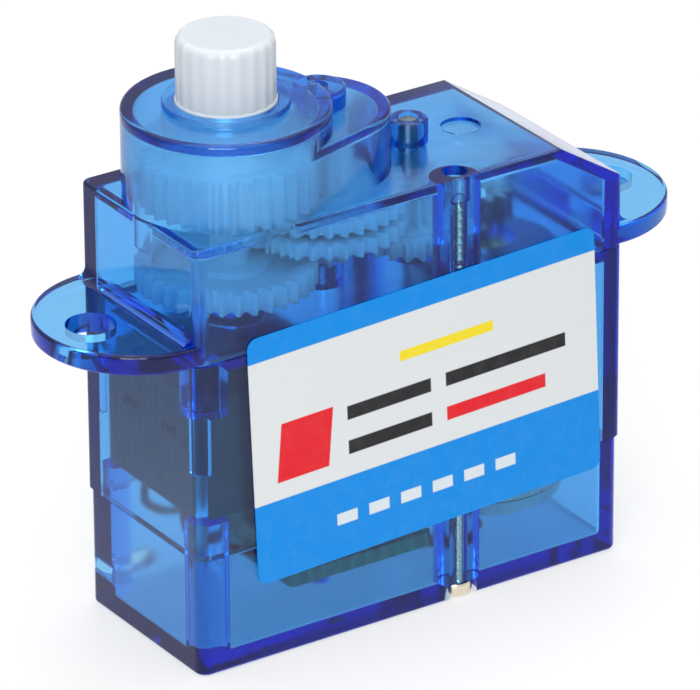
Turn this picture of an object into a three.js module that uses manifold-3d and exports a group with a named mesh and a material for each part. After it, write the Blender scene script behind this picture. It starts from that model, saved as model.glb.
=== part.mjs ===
// Sub-micro hobby servo motor of the 3.7 g class, built as the separate pieces it comes apart into.
// Millimetres. +X runs along the case with the output shaft at the -X end and the motor at the +X end,
// -Y is the side that carries the label, +Z is up. The origin is the bottom centre of the servo.

import * as THREE from 'three';
import { mergeVertices } from 'three/addons/utils/BufferGeometryUtils.js';
import Module from 'manifold-3d';

const wasm = await Module();
wasm.setup();

// ---------------------------------------------------------------- driving dimensions

// Case: three shells stacked on two long screws.
const caseLength = 20.0;
const caseWidth = 8.3;
const seamLower = 5.0;              // bottom cover meets middle case
const seamUpper = 13.4;             // middle case meets top case
const caseTop = 18.3;
const seamGap = 0.03;
const wall = 0.6;
const floorThickness = 0.65;
const topPlate = 0.55;
const deckThickness = 0.65;         // deck of the middle case, which carries the gear train
const cornerRadius = 0.4;
const coverInset = 0.06;            // the bottom cover is a little smaller all round
const coverCornerRadius = 0.5;
const edgeRound = 0.15;
const chamferRun = 3.0;             // slope at the motor end of the top case
const chamferDrop = 1.9;

// Mounting ears, part of the top case.
const earThickness = 0.9;
const earLift = 0.05;               // the ears' undersides sit just above the seam
const earHoleX = 12.15;
const earHoleRadius = 1.0;

// Output boss, idler lobe and axle collars on top of the case.
const outputX = -5.85;
const bossRadius = 4.1;
const bossTop = 22.0;
const bossRound = 0.3;
const bossRoof = 0.6;
const bossWall = 0.5;               // side walls of boss and lobe, and the lobe's roof
const lobeX = -1.9;
const lobeRadius = 3.05;
const lobeTop = 20.9;
const lipRadius = 2.5;              // raised lip round the output shaft
const lipHeight = 0.22;
const collar = { radius: 0.8, top: 19.3 };
const lobeCollar = { radius: 1.1, top: 21.7 };
const axleSunk = 0.15;              // each axle ends just below the top of its collar
const gateRecess = { x: 5.05, radius: 0.8, depth: 0.15 };

// Long case screws.
const screwX = 2.4;
const screwY = 3.45;
const screwRadius = 0.36;
const screwTip = 17.1;
const screwHeadRadius = 0.7;
const screwHead = { bottom: 0.05, top: 0.6 };
const counterboreRadius = 0.9;      // open through the side wall, so each head shows from the side
const pillarRadius = 1.0;

// Gear train, all module 0.2.
const module_ = 0.2;
const pressureAngle = THREE.MathUtils.degToRad(25);
const addendum = 0.85 * module_;
const dedendum = 1.15 * module_;
const backlash = 0.03;
const pinionTeeth = 10;
const wheelTeeth = 32;
const firstWheelTeeth = 24;
const stageDistance = (pinionTeeth + wheelTeeth) * module_ / 2;
const axleAX = outputX + stageDistance;     // axle under the lobe
const axleBX = axleAX + stageDistance;      // axle under the collar
const motorX = axleBX + (pinionTeeth + firstWheelTeeth) * module_ / 2;
const axleRadius = 0.4;
const runningGap = 0.05;
const gearBore = axleRadius + runningGap;

// Heights of each meshing level.
const levelMotor = { z0: 14.3, z1: 15.05 };
const levelC = { z0: 14.55, z1: 15.5 };
const levelA1 = { z0: 15.8, z1: 16.45 };
const levelA2 = { z0: 16.75, z1: 17.4 };
const levelOutput = { z0: 18.1, z1: 20.1 };

// Output shaft.
const potShaftRadius = 0.42;
const journalRadius = 2.0;
const splineRadius = 1.96;
const splineRoot = 1.85;
const splineTeeth = 20;
const splineBottom = 22.3;
const splineTop = 24.9;
const splineChamfer = 0.3;

// Motor.
const motorRadius = 3.2;
const motorTop = 12.65;
const motorCanBottom = 3.1;
const motorBottom = 2.5;
const canWall = 0.3;
const rotorShaftRadius = 0.4;
const motorFront = { radius: 1.05, height: 0.35 };
const motorMouthRadius = 0.8;       // opening in the front for the bushing
const magnetRing = { innerRadius: 2.25, z0: 5.3, z1: 11.0 };
const armatureStack = { radius: 2.05, z0: 5.6, z1: 10.6 };
const armatureSlot = { radius: 0.42, offset: 2.2 };
const commutatorRing = { radius: 0.8, z0: 3.6, z1: 4.9 };
const motorTerminalY = 1.3;
const terminalHalf = 0.1;           // half of a motor terminal's thickness
const brush = { y: 0.9, halfThickness: 0.05, x0: -0.25, x1: 1.6, footX: 1.4 };

// Feedback potentiometer.
const potFront = -9.2;              // close behind the end wall
const potBack = -3.05;
const potHalfY = 3.3;
const potTop = 11.6;
const potBottom = 6.4;
const potTabZ = 9.7;
const potTabY = 1.4;
const potPinX = -8.58;              // middle of each end terminal's pin
const potTab = { halfWidth: 0.42, halfHeight: 0.12, proud: 0.12, length: 0.8 };
const potPin = { half: 0.12, below: 0.3 };
const potNeckRadius = 1.25;
const potChamberRadius = 2.35;
const slotGap = 0.04;               // round each terminal in its slot

// Corner pockets under the deck and the ribs below them, inside the output end.
const pocket = { depth: 1.05, y0: 2.5, bottom: 10.85 };
const cornerRib = { depth: 0.25, y0: 3.15, bottom: 8.5 };

// Posts in the output end's corners of the bottom cover, which reach up into the middle case.
const cornerPost = { x: -9.0, y: 3.2, radius: 0.7, top: 6.3 };

// Circuit board and its parts.
const board = { x0: -5.4, x1: 1.3, halfY: 3.3, z0: 2.4, z1: 3.0 };
const standoff = { radius: 0.4, at: [[-4.8, 2.7], [0.6, 2.7], [-2.2, -0.4]] };
const chip = { x0: -4.7, x1: -2.0, halfY: 1.2, height: 1.0, legPitch: 0.7 };
const transistor = { x0: -1.5, x1: 0.1, y: 2.1, halfY: 0.7, height: 0.9 };
const capacitor = { x0: -5.25, x1: -4.85, halfY: 0.55, height: 0.7 };
const resistor = { x0: -3.9, x1: -2.6, y0: -2.85, y1: -2.2, height: 0.4 };
const motorLeadRadius = 0.25;
const potLeadRadius = 0.18;
const outlet = { x0: -9.2, x1: -6.9, z0: 0.95, z1: 1.8, corner: 0.4 };      // for the cable

// Label, stuck on a little out of square.
const label = {
  x0: -7.53, x1: 8.72, z0: 3.66, z1: 14.34,
  corner: 0.45, thickness: 0.06, gap: 0.02, tilt: THREE.MathUtils.degToRad(2.3),
};

// ---------------------------------------------------------------- derived dimensions

const halfL = caseLength / 2;
const halfW = caseWidth / 2;
const cavityX = halfL - wall;
const cavityY = halfW - wall;
const cavityTop = caseTop - topPlate;
const deckBottom = seamUpper - deckThickness;
const earTop = seamUpper + earThickness;
const bossCavityRadius = bossRadius - bossWall;
const bossCavityTop = bossTop - bossRoof;
const lobeCavityRadius = lobeRadius - bossWall;
const lobeCavityTop = lobeTop - bossWall;
const lobePinionTop = levelOutput.z1 + 0.1;

// ---------------------------------------------------------------- solids and shapes

function solidOf(geometry) {
  const bare = geometry.clone();
  bare.deleteAttribute('normal');
  bare.deleteAttribute('uv');
  const merged = mergeVertices(bare, 1e-4);
  const index = merged.index.array;
  const kept = [];
  for (let i = 0; i < index.length; i += 3) {
    const [a, b, c] = [index[i], index[i + 1], index[i + 2]];
    if (a !== b && b !== c && c !== a) kept.push(a, b, c);
  }
  return new wasm.Manifold(new wasm.Mesh({
    numProp: 3,
    vertProperties: new Float32Array(merged.attributes.position.array),
    triVerts: new Uint32Array(kept),
  }));
}

function geometryOf(solid) {
  const mesh = solid.getMesh();
  const geometry = new THREE.BufferGeometry();
  geometry.setAttribute('position', new THREE.BufferAttribute(new Float32Array(mesh.vertProperties), 3));
  geometry.setIndex(new THREE.BufferAttribute(new Uint32Array(mesh.triVerts), 1));
  geometry.computeVertexNormals();
  return geometry;
}

const join = (...solids) => solids.reduce((sum, next) => sum.add(next));
const cut = (solid, ...tools) => tools.reduce((rest, tool) => rest.subtract(tool), solid);

// Upright prism of a plan shape, with its top and bottom edges rounded when round is given.
function prism(shape, z0, z1, segments = 24, round = 0) {
  const geometry = new THREE.ExtrudeGeometry(shape, {
    depth: z1 - z0 - 2 * round,
    curveSegments: segments,
    bevelEnabled: round > 0,
    bevelThickness: round,
    bevelSize: round,
    bevelOffset: -round,
    bevelSegments: 2,
  });
  geometry.translate(0, 0, z0 + round);
  return solidOf(geometry);
}

// Prism of a shape drawn in the XZ plane, from y0 to y1.
function sidePrism(shape, y0, y1, segments = 12) {
  const geometry = new THREE.ExtrudeGeometry(shape, {
    depth: y1 - y0, curveSegments: segments, bevelEnabled: false,
  });
  geometry.rotateX(Math.PI / 2);
  geometry.translate(0, y1, 0);
  return solidOf(geometry);
}

function block(x0, x1, y0, y1, z0, z1) {
  const geometry = new THREE.BoxGeometry(x1 - x0, y1 - y0, z1 - z0);
  geometry.translate((x0 + x1) / 2, (y0 + y1) / 2, (z0 + z1) / 2);
  return solidOf(geometry);
}

function cone(x, y, r0, r1, z0, z1, segments = 24) {
  const geometry = new THREE.CylinderGeometry(r1, r0, z1 - z0, segments);
  geometry.rotateX(Math.PI / 2);
  geometry.translate(x, y, (z0 + z1) / 2);
  return solidOf(geometry);
}

const rod = (x, y, radius, z0, z1, segments = 24) => cone(x, y, radius, radius, z0, z1, segments);

function wire(points, radius) {
  const path = new THREE.CatmullRomCurve3(points.map(([x, y, z]) => new THREE.Vector3(x, y, z)));
  const section = new THREE.Shape().absarc(0, 0, radius, 0, 2 * Math.PI);
  return solidOf(new THREE.ExtrudeGeometry(section, { steps: 12, curveSegments: 3, extrudePath: path }));
}

function roundedRectangle(x0, x1, y0, y1, r) {
  const shape = new THREE.Shape();
  shape.absarc(x1 - r, y1 - r, r, 0, Math.PI / 2);
  shape.absarc(x0 + r, y1 - r, r, Math.PI / 2, Math.PI);
  shape.absarc(x0 + r, y0 + r, r, Math.PI, 1.5 * Math.PI);
  shape.absarc(x1 - r, y0 + r, r, 1.5 * Math.PI, 2 * Math.PI);
  return shape;
}

const casePlan = (inset, r) =>
  roundedRectangle(-halfL + inset, halfL - inset, -halfW + inset, halfW - inset, r);

const circle = (x, y, r) => new THREE.Shape().absarc(x, y, r, 0, 2 * Math.PI);

// Outline round a large circle and a smaller one beside it on the X axis, joined by their tangents.
function tangentOutline(x0, r0, x1, r1) {
  const normal = Math.acos((r0 - r1) / (x1 - x0));
  const shape = new THREE.Shape();
  shape.absarc(x0, 0, r0, normal, 2 * Math.PI - normal);
  shape.absarc(x1, 0, r1, -normal, normal);
  return shape;
}

const polar = (radius, angle) => new THREE.Vector2(radius * Math.cos(angle), radius * Math.sin(angle));

// Involute spur gear outline with a tooth at the angle phase.
function gearShape(x, teeth, phase) {
  const pitch = teeth * module_ / 2;
  const base = pitch * Math.cos(pressureAngle);
  const involute = (r) => Math.sqrt((r / base) ** 2 - 1) - Math.acos(base / r);
  const halfAtPitch = (Math.PI * module_ / 2 - backlash) / 2 / pitch;
  const halfAngle = (r) => halfAtPitch + involute(pitch) - involute(Math.max(r, base));
  const root = pitch - dedendum;
  const tip = pitch + addendum;
  const radii = [root, (root + tip) / 2, tip];
  const points = [];
  for (let i = 0; i < teeth; i++) {
    const middle = phase + i * 2 * Math.PI / teeth;
    for (const r of radii) points.push(polar(r, middle - halfAngle(r)));
    for (const r of radii.toReversed()) points.push(polar(r, middle + halfAngle(r)));
  }
  return new THREE.Shape(points.map((point) => new THREE.Vector2(point.x + x, point.y)));
}

// A pinion meshes with a tooth on the line of centres and a wheel with a gap there.
const pinionAt = (x, z0, z1) => prism(gearShape(x, pinionTeeth, 0), z0, z1);
const wheelAt = (x, teeth, z0, z1) => prism(gearShape(x, teeth, Math.PI / teeth), z0, z1);

// ---------------------------------------------------------------- case

const screwSides = { near: -screwY, far: screwY };

// A rod at each of the two case screws.
const screwRods = (radius, z0, z1, segments = 16) =>
  join(...Object.values(screwSides).map((y) => rod(screwX, y, radius, z0, z1, segments)));

// Everything past the sloping end of the top case, moved inwards by offset.
function endSlope(offset) {
  const shape = new THREE.Shape([
    new THREE.Vector2(halfL - chamferRun, caseTop - offset),
    new THREE.Vector2(halfL, caseTop - chamferDrop - offset),
    new THREE.Vector2(halfL + 2, caseTop - chamferDrop - offset),
    new THREE.Vector2(halfL + 2, caseTop + 2),
    new THREE.Vector2(halfL - chamferRun, caseTop + 2),
  ]);
  return sidePrism(shape, -halfW - 1, halfW + 1);
}

function topCase() {
  const z0 = seamUpper + seamGap;
  const outerShell = cut(prism(casePlan(0, cornerRadius), z0 - 1, caseTop, 3, edgeRound), endSlope(0));
  const earPlan = roundedRectangle(-halfL - halfW, halfL + halfW, -halfW, halfW, halfW - 0.001);
  const outer = join(
    outerShell,
    prism(earPlan, z0 + earLift, earTop, 8),
    prism(circle(outputX, 0, bossRadius), caseTop - 1, bossTop, 22, bossRound),
    prism(tangentOutline(outputX, bossRadius, lobeX, lobeRadius), caseTop - 1, lobeTop, 16, bossRound),
    rod(outputX, 0, lipRadius, bossTop - 0.2, bossTop + lipHeight, 32),
    rod(axleBX, 0, collar.radius, caseTop - 0.2, collar.top),
    rod(axleAX, 0, lobeCollar.radius, lobeTop - 0.2, lobeCollar.top),
  );
  const cavity = cut(prism(casePlan(wall, 0.2), z0 - 2, cavityTop, 2), endSlope(topPlate));
  const gearRoomPlan = tangentOutline(outputX, bossCavityRadius, lobeX, lobeCavityRadius);
  const gearRoom = join(
    prism(circle(outputX, 0, bossCavityRadius), cavityTop - 1, bossCavityTop, 18),
    prism(gearRoomPlan, cavityTop - 1, lobeCavityTop, 12),
  );
  const wheelRoomRadius = firstWheelTeeth * module_ / 2 + addendum + 0.13;
  const wheelRoom = rod(axleBX, 0, wheelRoomRadius, z0 - 1, levelMotor.z1 + 0.15);
  const pillars = cut(screwRods(pillarRadius, z0, cavityTop + 0.1, 24), wheelRoom);
  const inside = join(
    pillars.intersect(prism(casePlan(0.1, 0.2), z0, caseTop, 2)),
    rod(axleBX, 0, 0.7, levelA1.z1 + 0.3, cavityTop + 0.1),
    rod(axleAX, 0, 0.75, lobePinionTop + 0.05, lobeCavityTop + 0.1),
  );
  const shell = join(cut(outer, cavity, gearRoom, block(-20, 20, -6, 6, z0 - 3, z0)), inside);
  const earHoles = [-earHoleX, earHoleX].map((x) => rod(x, 0, earHoleRadius, seamUpper - 1, earTop + 1, 28));
  return cut(
    shell,
    ...earHoles,
    rod(outputX, 0, journalRadius + runningGap, bossCavityTop - 0.5, bossTop + 1, 32),
    rod(axleBX, 0, axleRadius + 0.02, levelA1.z1, collar.top + 1, 16),
    rod(axleAX, 0, axleRadius + 0.02, lobePinionTop, lobeCollar.top + 1, 16),
    rod(gateRecess.x, 0, gateRecess.radius, caseTop - gateRecess.depth, caseTop + 1),
    screwRods(screwRadius + 0.03, z0 - 1, screwTip + 0.1),
    screwRods(0.52, screwTip + 0.05, caseTop + 1),
  );
}

function middleCase() {
  const z0 = seamLower + seamGap;
  const outer = prism(casePlan(0, cornerRadius), z0, seamUpper, 3);
  const cavity = prism(casePlan(wall, 0.2), z0 - 1, deckBottom, 2);
  const bosses = join(
    rod(outputX, 0, 0.95, seamUpper - 0.1, levelC.z0 - 0.1),
    rod(axleAX, 0, 0.8, seamUpper - 0.1, levelC.z0 - 0.15),
    rod(axleBX, 0, 0.8, seamUpper - 0.1, levelMotor.z0 - 0.08),
  );
  const plan = prism(casePlan(0.1, 0.2), z0, seamUpper, 2);
  const inCorner = ({ depth, y0, bottom }, side) => {
    const [near, far] = [side * y0, side * (cavityY + 0.1)].sort((a, b) => a - b);
    return block(-cavityX - 0.1, -cavityX + depth, near, far, bottom, deckBottom + 0.1);
  };
  const shell = join(
    cut(outer, cavity),
    bosses,
    screwRods(pillarRadius, z0, deckBottom + 0.1, 24).intersect(plan),
    ...[-1, 1].flatMap((side) => [inCorner(pocket, side), inCorner(cornerRib, side)]),
  );
  return cut(
    shell,
    rod(outputX, 0, potShaftRadius + 0.07, deckBottom - 1, seamUpper + 3, 20),
    rod(outputX, 0, 1.35, deckBottom - 1, deckBottom + 0.2),
    rod(axleAX, 0, axleRadius + 0.02, deckBottom + 0.15, seamUpper + 3, 16),
    rod(axleBX, 0, axleRadius + 0.02, deckBottom + 0.15, seamUpper + 3, 16),
    rod(motorX, 0, 1.3, deckBottom - 1, seamUpper + 1),
    screwRods(screwRadius + 0.06, z0 - 1, seamUpper + 1),
  );
}

function bottomCover() {
  const outer = prism(casePlan(coverInset, coverCornerRadius), 0, seamLower + 1, 4, edgeRound);
  const cavity = prism(casePlan(coverInset + wall, 0.3), floorThickness, seamLower + 2, 2);
  const plan = prism(casePlan(coverInset + 0.1, 0.2), 0, seamLower, 2);
  const above = block(-12, 12, -6, 6, seamLower, seamLower + 3);
  const standoffs = standoff.at.map(([x, y]) => rod(x, y, standoff.radius, 0.5, board.z0 - 0.05, 12));
  const postPlan = join(plan, prism(casePlan(wall + 0.04, 0.25), seamLower - 1, cornerPost.top, 2));
  const posts = [-cornerPost.y, cornerPost.y].map((y) =>
    rod(cornerPost.x, y, cornerPost.radius, 0.3, cornerPost.top, 24).intersect(postPlan));
  const shell = join(
    cut(outer, cavity, above),
    screwRods(pillarRadius, 0.3, seamLower, 24).intersect(plan),
    ...standoffs,
    ...posts,
  );
  const outletPlan = roundedRectangle(outlet.x0, outlet.x1, outlet.z0, outlet.z1, outlet.corner);
  const cableOutlet = sidePrism(outletPlan, halfW - 1.2, halfW + 1, 6);
  return cut(
    shell,
    screwRods(screwRadius + 0.06, -1, seamLower + 1),
    screwRods(counterboreRadius, -1, screwHead.top + 0.05, 24),
    cableOutlet,
  );
}

// The screw stands on its head: the drive recess faces down.
function caseScrew(y) {
  const head = cut(
    rod(screwX, y, screwHeadRadius, screwHead.bottom, screwHead.top, 24),
    block(screwX - 0.45, screwX + 0.45, y - 0.08, y + 0.08, -1, screwHead.bottom + 0.25),
    block(screwX - 0.08, screwX + 0.08, y - 0.45, y + 0.45, -1, screwHead.bottom + 0.25),
  );
  return join(
    head,
    rod(screwX, y, screwRadius, screwHead.top - 0.1, screwTip - 0.5, 12),
    cone(screwX, y, screwRadius, 0.08, screwTip - 0.5, screwTip, 12),
  );
}

function labelSticker() {
  const [midX, midZ] = [(label.x0 + label.x1) / 2, (label.z0 + label.z1) / 2];
  const [halfX, halfZ] = [(label.x1 - label.x0) / 2, (label.z1 - label.z0) / 2];
  const outline = roundedRectangle(-halfX, halfX, -halfZ, halfZ, label.corner);
  const geometry = new THREE.ExtrudeGeometry(outline, {
    depth: label.thickness, curveSegments: 3, bevelEnabled: false,
  });
  geometry.rotateZ(label.tilt);
  geometry.rotateX(Math.PI / 2);
  geometry.translate(midX, -halfW - label.gap, midZ);
  return solidOf(geometry);
}

// ---------------------------------------------------------------- gear train

const bored = (solid, x, radius) => cut(solid, rod(x, 0, radius, 12, levelOutput.z0 + 4, 16));

const gears = {
  // Driven by the motor pinion, low on the axle under the collar.
  first_idler_gear: bored(join(
    wheelAt(axleBX, firstWheelTeeth, levelMotor.z0, levelMotor.z1),
    pinionAt(axleBX, levelMotor.z1 - 0.1, levelA1.z1 + 0.15),
  ), axleBX, gearBore),
  // On the axle under the lobe: wheel above, pinion below.
  second_idler_gear: bored(join(
    wheelAt(axleAX, wheelTeeth, levelA1.z0, levelA1.z1),
    pinionAt(axleAX, levelC.z0 - 0.05, levelA1.z0 + 0.1),
  ), axleAX, gearBore),
  // Turns freely on the potentiometer shaft, below the output gear.
  third_idler_gear: bored(join(
    wheelAt(outputX, wheelTeeth, levelC.z0, levelC.z1),
    rod(outputX, 0, 0.7, levelC.z1 - 0.1, levelA2.z0),
    pinionAt(outputX, levelA1.z1 + 0.15, levelA2.z1 + 0.05),
  ), outputX, potShaftRadius + 0.06),
  // Wheel in the case, pinion up in the lobe, driving the output gear.
  fourth_idler_gear: bored(join(
    rod(axleAX, 0, 0.7, levelA1.z1 + 0.1, levelA2.z0 + 0.1),
    wheelAt(axleAX, wheelTeeth, levelA2.z0, levelA2.z1),
    pinionAt(axleAX, levelA2.z1 - 0.1, lobePinionTop),
  ), axleAX, gearBore),
};

function splineShape(trim) {
  const points = [];
  for (let i = 0; i < splineTeeth; i++) {
    const start = i * 2 * Math.PI / splineTeeth;
    const step = 2 * Math.PI / splineTeeth;
    points.push(polar(splineRoot - trim, start + 0.1 * step));
    points.push(polar(splineRadius - trim, start + 0.35 * step));
    points.push(polar(splineRadius - trim, start + 0.65 * step));
    points.push(polar(splineRoot - trim, start + 0.9 * step));
  }
  return new THREE.Shape(points.map((point) => new THREE.Vector2(point.x + outputX, point.y)));
}

function outputGear() {
  const hub = join(
    rod(outputX, 0, 1.5, levelA2.z1 + 0.2, levelOutput.z0 + 0.1),
    wheelAt(outputX, wheelTeeth, levelOutput.z0, levelOutput.z1),
    rod(outputX, 0, 2.5, levelOutput.z1 - 0.1, bossCavityTop - 0.12, 32),
    rod(outputX, 0, journalRadius, bossCavityTop - 0.3, splineBottom, 40),
  );
  const crown = cone(outputX, 0, splineRadius + 0.02, splineRadius - splineChamfer,
    splineTop - splineChamfer, splineTop, 40);
  const below = rod(outputX, 0, splineRadius + 0.3, splineBottom - 0.2, splineTop - splineChamfer, 40);
  const spline = prism(splineShape(0), splineBottom - 0.1, splineTop).intersect(join(below, crown));
  const shaftSocket = cut(
    rod(outputX, 0, potShaftRadius + 0.04, 12, levelOutput.z1 + 0.1, 20),
    block(outputX + potShaftRadius - 0.08, outputX + 1, -1, 1, levelOutput.z0 + 0.2, levelOutput.z1 + 1),
  );
  return cut(join(hub, spline), shaftSocket);
}

function potShaft() {
  const flat = block(outputX + potShaftRadius - 0.14, outputX + 1, -1, 1, levelOutput.z0 + 0.1, 30);
  return cut(rod(outputX, 0, potShaftRadius, potBottom + 0.75, levelOutput.z1, 20), flat);
}

// ---------------------------------------------------------------- motor

function motorCan() {
  const outer = prism(circle(motorX, 0, motorRadius), motorCanBottom - 1, motorTop, 16, 0.2);
  const front = rod(motorX, 0, motorFront.radius, motorTop - 0.1, motorTop + motorFront.height);
  return cut(
    join(outer, front),
    rod(motorX, 0, motorRadius - canWall, 0, motorTop - 0.4, 32),
    rod(motorX, 0, motorMouthRadius, motorTop - 1, motorTop + 1),
    block(-20, 20, -6, 6, 0, motorCanBottom),
  );
}

function motorEndCap() {
  const disc = join(
    rod(motorX, 0, motorRadius - 0.05, motorBottom, motorCanBottom - 0.03, 32),
    rod(motorX, 0, motorRadius - canWall - 0.06, motorBottom, motorCanBottom + 0.6, 32),
  );
  return cut(
    disc,
    rod(motorX, 0, 1.9, motorCanBottom, motorCanBottom + 1, 24),
    rod(motorX, 0, rotorShaftRadius + 0.03, motorBottom + 0.2, motorCanBottom + 1, 16),
    ...motorTerminalSlots(0.03),
  );
}

function motorTerminalBox(y, grow) {
  const [x0, x1] = [motorX - 1.5 - grow, motorX - 0.6 + grow];
  const half = terminalHalf + grow;
  return block(x0, x1, y - half, y + half, motorBottom - 0.6, motorCanBottom + 0.5);
}
const motorTerminalSlots = (grow) => [motorTerminalY, -motorTerminalY].map((y) => motorTerminalBox(y, grow));

// Leaf brush: stands on the end cap floor beside its terminal and rests near the commutator.
function motorBrush(side) {
  const [y0, y1] = [side * brush.y - brush.halfThickness, side * brush.y + brush.halfThickness];
  const [x0, footX, x1] = [motorX + brush.x0, motorX + brush.footX, motorX + brush.x1];
  return join(
    block(x0, x1, y0, y1, motorCanBottom + 0.7, motorCanBottom + 1.2),
    block(footX, x1, y0, y1, motorCanBottom + 0.04, motorCanBottom + 1.2),
  );
}

const motorMagnet = () => cut(
  rod(motorX, 0, motorRadius - canWall - 0.06, magnetRing.z0, magnetRing.z1, 32),
  rod(motorX, 0, magnetRing.innerRadius, magnetRing.z0 - 1, magnetRing.z1 + 1, 24),
);

const frontBushing = () => cut(
  rod(motorX, 0, motorMouthRadius - 0.03, motorTop - 0.7, motorTop + 0.3, 20),
  rod(motorX, 0, rotorShaftRadius + 0.03, motorTop - 1, motorTop + 1, 16),
);

const rotorBore = (z0, z1) => rod(motorX, 0, rotorShaftRadius + 0.02, z0, z1, 16);

// Three-pole armature stack with three slots for its winding.
function armature() {
  const { radius, z0, z1 } = armatureStack;
  const slots = [1, 3, 5].map((i) => {
    const centre = polar(armatureSlot.offset, i * Math.PI / 3);
    return rod(motorX + centre.x, centre.y, armatureSlot.radius, z0 - 1, z1 + 1, 12);
  });
  return cut(rod(motorX, 0, radius, z0, z1, 36), rotorBore(z0 - 1, z1 + 1), ...slots);
}

function commutator() {
  const { radius, z0, z1 } = commutatorRing;
  return cut(rod(motorX, 0, radius, z0, z1, 20), rotorBore(z0 - 1, z1 + 1));
}

const motorPinion = () => cut(
  pinionAt(motorX, levelMotor.z0 - 0.1, levelMotor.z1 + 0.35),
  rotorBore(levelMotor.z0 - 1, levelMotor.z1 + 1),
);

// ---------------------------------------------------------------- potentiometer

function potHousing() {
  const outer = join(
    prism(roundedRectangle(potFront, potBack, -potHalfY, potHalfY, 0.4), potBottom, potTop, 2, 0.1),
    rod(outputX, 0, potNeckRadius, potTop - 0.2, deckBottom + 0.1),
  );
  const cornerRoom = ({ depth, y0, bottom }) => [-1, 1].map((side) => {
    const [near, far] = [side * (y0 - 0.1), side * 5].sort((a, b) => a - b);
    return block(potFront - 1, -cavityX + depth + 0.1, near, far, bottom - 0.1, potTop + 1);
  });
  const terminalRoom = [-potTabY, potTabY].map((y) => potEndTerminal(y, slotGap));
  return cut(
    outer,
    rod(outputX, 0, potChamberRadius, potBottom - 1, potTop - 0.8, 28),
    rod(outputX, 0, potShaftRadius + 0.05, 5, 14, 20),
    ...cornerRoom(pocket),
    ...cornerRoom(cornerRib),
    ...terminalRoom,
  );
}

const potBase = () => rod(outputX, 0, potChamberRadius - 0.05, potBottom + 0.05, potBottom + 0.45, 32);

const potTrack = () => cut(
  rod(outputX, 0, 2.2, potBottom + 0.48, potBottom + 0.58, 32),
  rod(outputX, 0, 1.3, potBottom, potBottom + 1, 24),
  block(outputX - 3, outputX, -0.4, 0.4, potBottom, potBottom + 1),
);

// Contact carrier pressed on the lower end of the shaft.
const potWiper = () => cut(
  join(
    rod(outputX, 0, 1.0, potBottom + 0.9, potBottom + 1.5, 20),
    block(outputX, outputX + 2.0, -0.3, 0.3, potBottom + 0.65, potBottom + 1.0),
  ),
  rod(outputX, 0, potShaftRadius + 0.02, 6, 10, 20),
);

// A tab that shows in the front face, with a pin down through the housing. Grown, it is its own slot.
function potEndTerminal(y, grow = 0) {
  const width = potTab.halfWidth + grow;
  const height = potTab.halfHeight + grow;
  const pin = potPin.half + grow;
  const [x0, x1] = [potFront - potTab.proud - grow, potFront + potTab.length + grow];
  return join(
    block(x0, x1, y - width, y + width, potTabZ - height, potTabZ + height),
    block(potPinX - pin, potPinX + pin, y - pin, y + pin, potBottom - potPin.below - grow, potTabZ + height),
  );
}

const potWiperTerminal = () =>
  block(outputX + 1.2, outputX + 1.6, -0.4, 0.4, potBottom - 0.75, potBottom + 0.02);

// ---------------------------------------------------------------- electronics

function circuitBoard() {
  const plan = roundedRectangle(board.x0, board.x1, -board.halfY, board.halfY, 0.3);
  return prism(plan, board.z0, board.z1, 3);
}

const onBoard = board.z1 + 0.03;

function controlChip() {
  const body = block(chip.x0, chip.x1, -chip.halfY, chip.halfY, onBoard + 0.12, onBoard + chip.height);
  const legs = [-1, 1].flatMap((side) => [0, 1, 2, 3].map((i) => {
    const x = chip.x0 + 0.3 + i * chip.legPitch;
    const y = side * (chip.halfY + 0.15);
    return block(x - 0.12, x + 0.12, y - 0.35, y + 0.35, onBoard, onBoard + 0.35);
  }));
  return join(body, ...legs);
}

function driverTransistor(side) {
  const { x0, x1, halfY, height } = transistor;
  const y = side * transistor.y;
  const leg = (x) => block(x, x + 0.4, y - halfY - 0.35, y + halfY + 0.35, onBoard, onBoard + 0.3);
  return join(
    block(x0, x1, y - halfY, y + halfY, onBoard + 0.1, onBoard + height),
    leg(x0 + 0.25),
    leg(x1 - 0.65),
  );
}

const bypassCapacitor = () =>
  block(capacitor.x0, capacitor.x1, -capacitor.halfY, capacitor.halfY, onBoard, onBoard + capacitor.height);
const timingResistor = () =>
  block(resistor.x0, resistor.x1, resistor.y0, resistor.y1, onBoard, onBoard + resistor.height);

// Two leads from the motor terminals to the underside of the board.
const motorLead = (side) => wire([
  [motorX - 1.05, side * motorTerminalY, motorBottom - 0.95],
  [motorX - 2.4, side * motorTerminalY, 1.25],
  [2.0, side * 1.2, 1.45],
  [0.4, side * 1.2, board.z0 - 0.32],
], motorLeadRadius);

// Leads from the potentiometer's pins to the top of the board.
const potEndLead = (side) => wire([
  [potPinX, side * potTabY, potBottom - 0.34],
  [potPinX, side * 1.5, 5.2],
  [-7.4, side * 1.9, 4.2],
  [-5.8, side * 2.5, 3.7],
  [-5.0, side * 2.7, onBoard + 0.14],
], potLeadRadius);

const potWiperLead = () => wire([
  [outputX + 1.4, 0, potBottom - 0.87],
  [outputX + 1.45, 0.5, 5.0],
  [outputX + 1.9, 1.6, 4.3],
  [outputX + 2.6, 2.5, onBoard + 0.12],
], potLeadRadius);

// ---------------------------------------------------------------- assembly

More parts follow.
